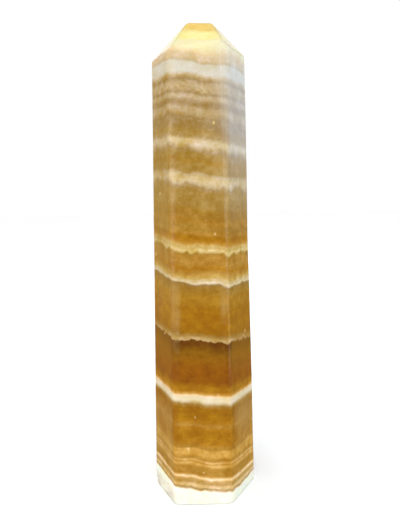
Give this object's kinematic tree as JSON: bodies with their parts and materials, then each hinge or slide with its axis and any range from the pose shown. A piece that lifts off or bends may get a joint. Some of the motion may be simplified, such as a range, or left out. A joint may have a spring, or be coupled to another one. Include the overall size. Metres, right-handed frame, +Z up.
{
  "type": "calcite point",
  "caption": "Polished hexagonal tower of banded honey calcite with a faceted point, a decorative mineral piece that stands on its flat base.",
  "frame": {"origin": "middle of the flat base, on the surface the tower stands on", "axes": "+Z up along the tower, +Y towards the back, +X to the right across the front face"},
  "size_m": [0.0405, 0.0348, 0.1809],
  "materials": {
    "honey_calcite": "polished, translucent, honey and cream bands"
  },
  "bodies": {
    "root": {"calcite_point": "honey_calcite"}
  },
  "joints": []
}
